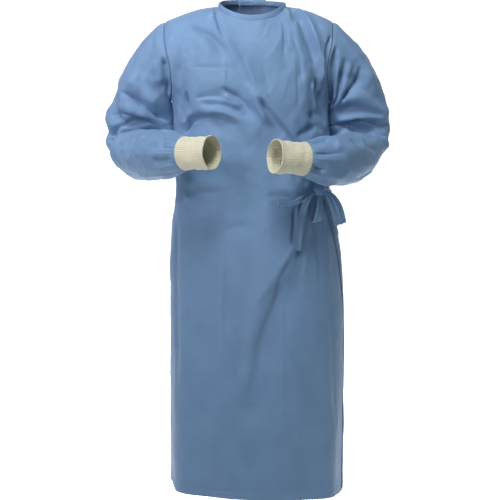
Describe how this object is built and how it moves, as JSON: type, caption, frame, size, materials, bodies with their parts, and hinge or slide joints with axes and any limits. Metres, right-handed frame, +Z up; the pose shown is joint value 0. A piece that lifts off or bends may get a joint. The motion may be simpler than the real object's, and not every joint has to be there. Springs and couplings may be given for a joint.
{
  "type": "surgical gown",
  "caption": "Long wrap-around surgical gown in blue nonwoven cloth, standing hollow as if worn, sleeves bent forward to knitted cuffs, tied in a bow at the side.",
  "frame": {"origin": "between the shoulders, level with the sides of the neck opening, where a wearer's shoulders carry the gown", "axes": "+Z up, front of the gown faces -Y, the wearer's left is +X"},
  "size_m": [0.7128, 0.4577, 1.23],
  "materials": {
    "cloth": "matte nonwoven cloth, medium slate blue",
    "binding": "folded binding tape of the same blue cloth",
    "knit": "cream rib knit"
  },
  "bodies": {
    "root": {"front": "cloth", "back_right": "cloth", "back_left": "cloth", "sleeve_right": "cloth", "sleeve_left": "cloth", "cuff_right": "knit", "cuff_left": "knit", "neck_binding": "binding", "tie_front": "cloth", "tie_back": "cloth", "bow_knot": "cloth", "bow_loop_front": "cloth", "bow_loop_side": "cloth", "bow_tail_front": "cloth", "bow_tail_side": "cloth"}
  },
  "joints": []
}
